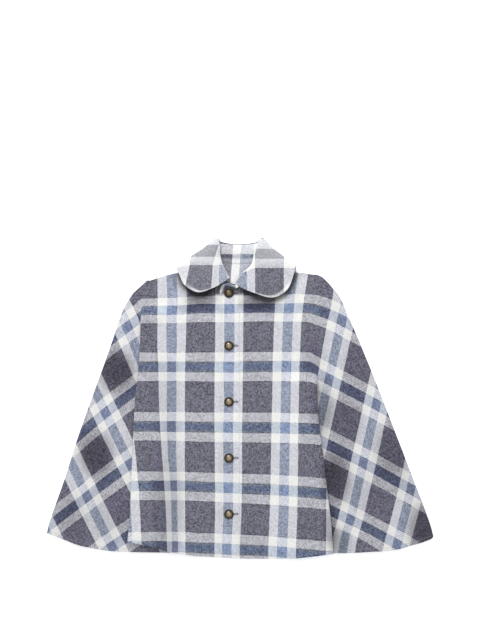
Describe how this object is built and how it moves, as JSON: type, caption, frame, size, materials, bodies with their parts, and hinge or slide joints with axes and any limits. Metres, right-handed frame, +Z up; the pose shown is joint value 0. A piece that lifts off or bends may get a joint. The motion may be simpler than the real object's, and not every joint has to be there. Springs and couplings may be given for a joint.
{
  "type": "buttoned wool cape",
  "caption": "Checked wool cape with a round collar and domed brass buttons, laid flat and buttoned up, with a soft pleat falling down each front.",
  "frame": {"origin": "middle of the laid cape's box, on the surface it lies on", "axes": "+X across the body towards the wearer's left, +Y from the hem up to the collar, +Z up from the surface"},
  "size_m": [0.794, 0.659, 0.0206],
  "materials": {
    "wool_check": "brushed twill in a grey, white and blue check",
    "antique_brass": "aged, darkened round the rim"
  },
  "bodies": {
    "root": {"back": "wool_check", "front_right": "wool_check", "front_left": "wool_check", "collar": "wool_check", "button_1": "antique_brass", "button_2": "antique_brass", "button_3": "antique_brass", "button_4": "antique_brass", "button_5": "antique_brass"}
  },
  "joints": []
}
